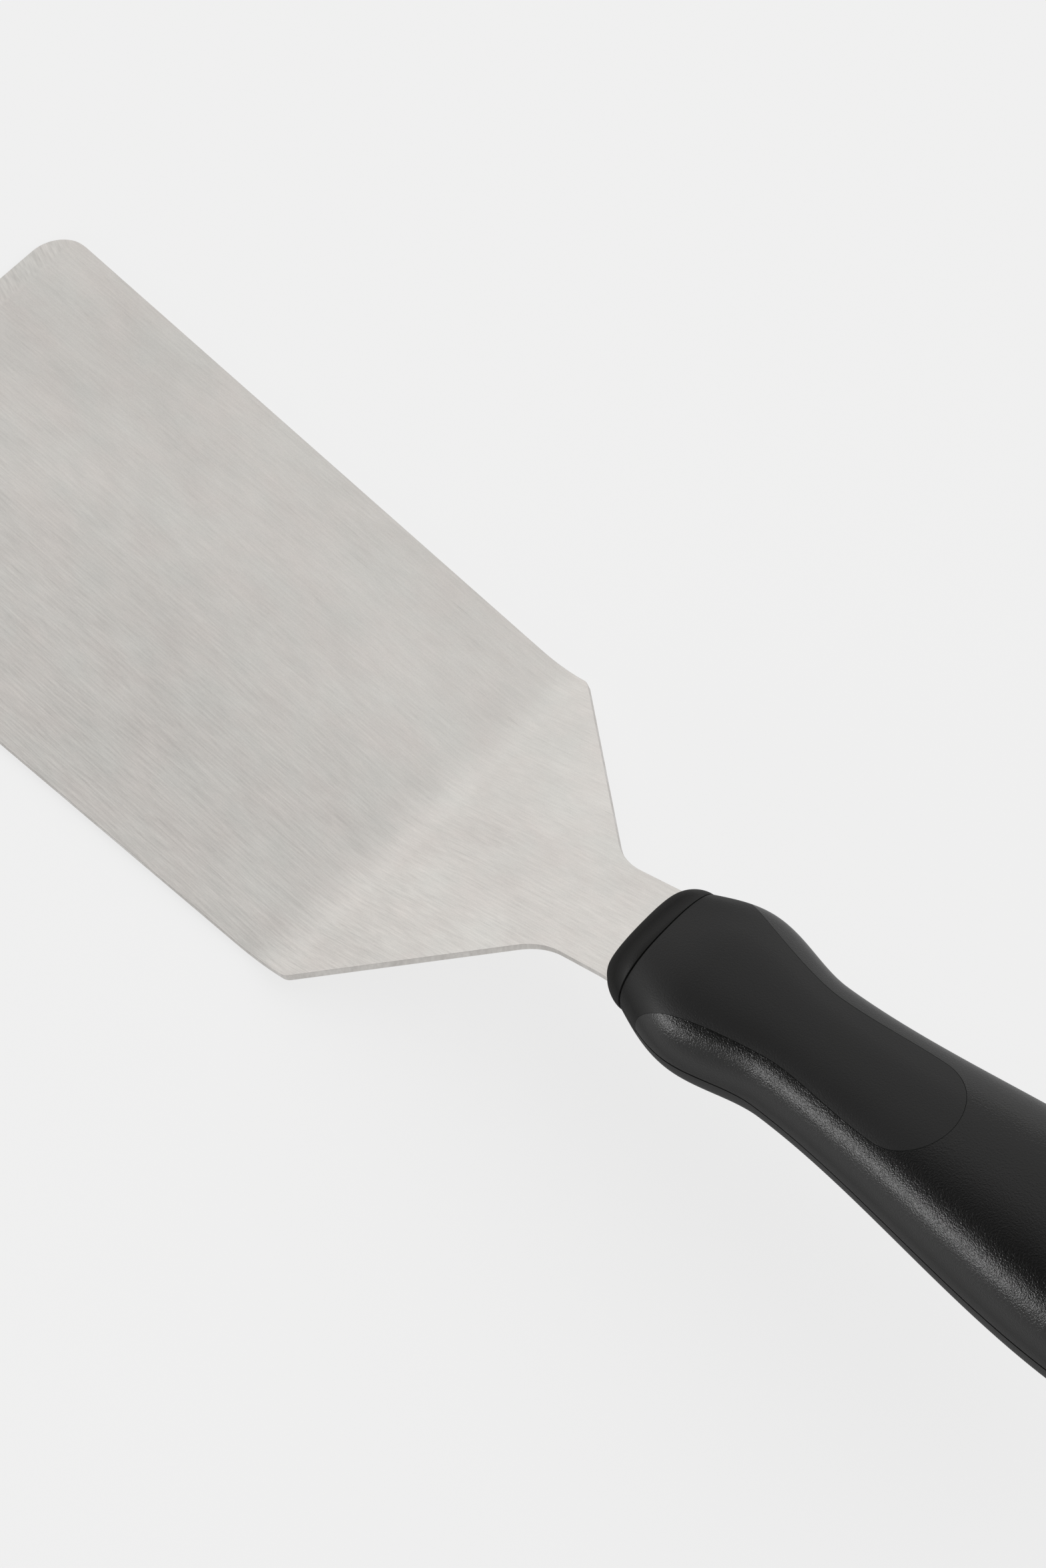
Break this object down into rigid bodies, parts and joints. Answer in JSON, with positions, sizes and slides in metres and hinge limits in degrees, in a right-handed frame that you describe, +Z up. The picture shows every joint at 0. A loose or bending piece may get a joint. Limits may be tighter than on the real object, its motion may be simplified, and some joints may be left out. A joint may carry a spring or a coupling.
{
  "type": "griddle turner",
  "caption": "Griddle turner with a flat bent steel blade, a raised contoured black handle with a soft grip inlay and front collar, and a hang hole at the butt.",
  "frame": {"origin": "middle of the whole turner in plan, on the plane of the blade's flat underside", "axes": "+X from the blade's front edge to the butt of the handle, +Y across the blade, +Z up out of the blade's top face"},
  "size_m": [0.303, 0.0796, 0.0671],
  "materials": {
    "blade_steel": "stainless sheet brushed lengthwise, front edge ground across",
    "collar_plastic": "matte black moulding",
    "core_plastic": "hard black moulding with a fine spark-eroded grain and a satin sheen",
    "grip_rubber": "matte black soft moulding"
  },
  "bodies": {
    "root": {"blade": "blade_steel", "front_collar": "collar_plastic", "handle_core": "core_plastic", "soft_grip": "grip_rubber"}
  },
  "joints": []
}
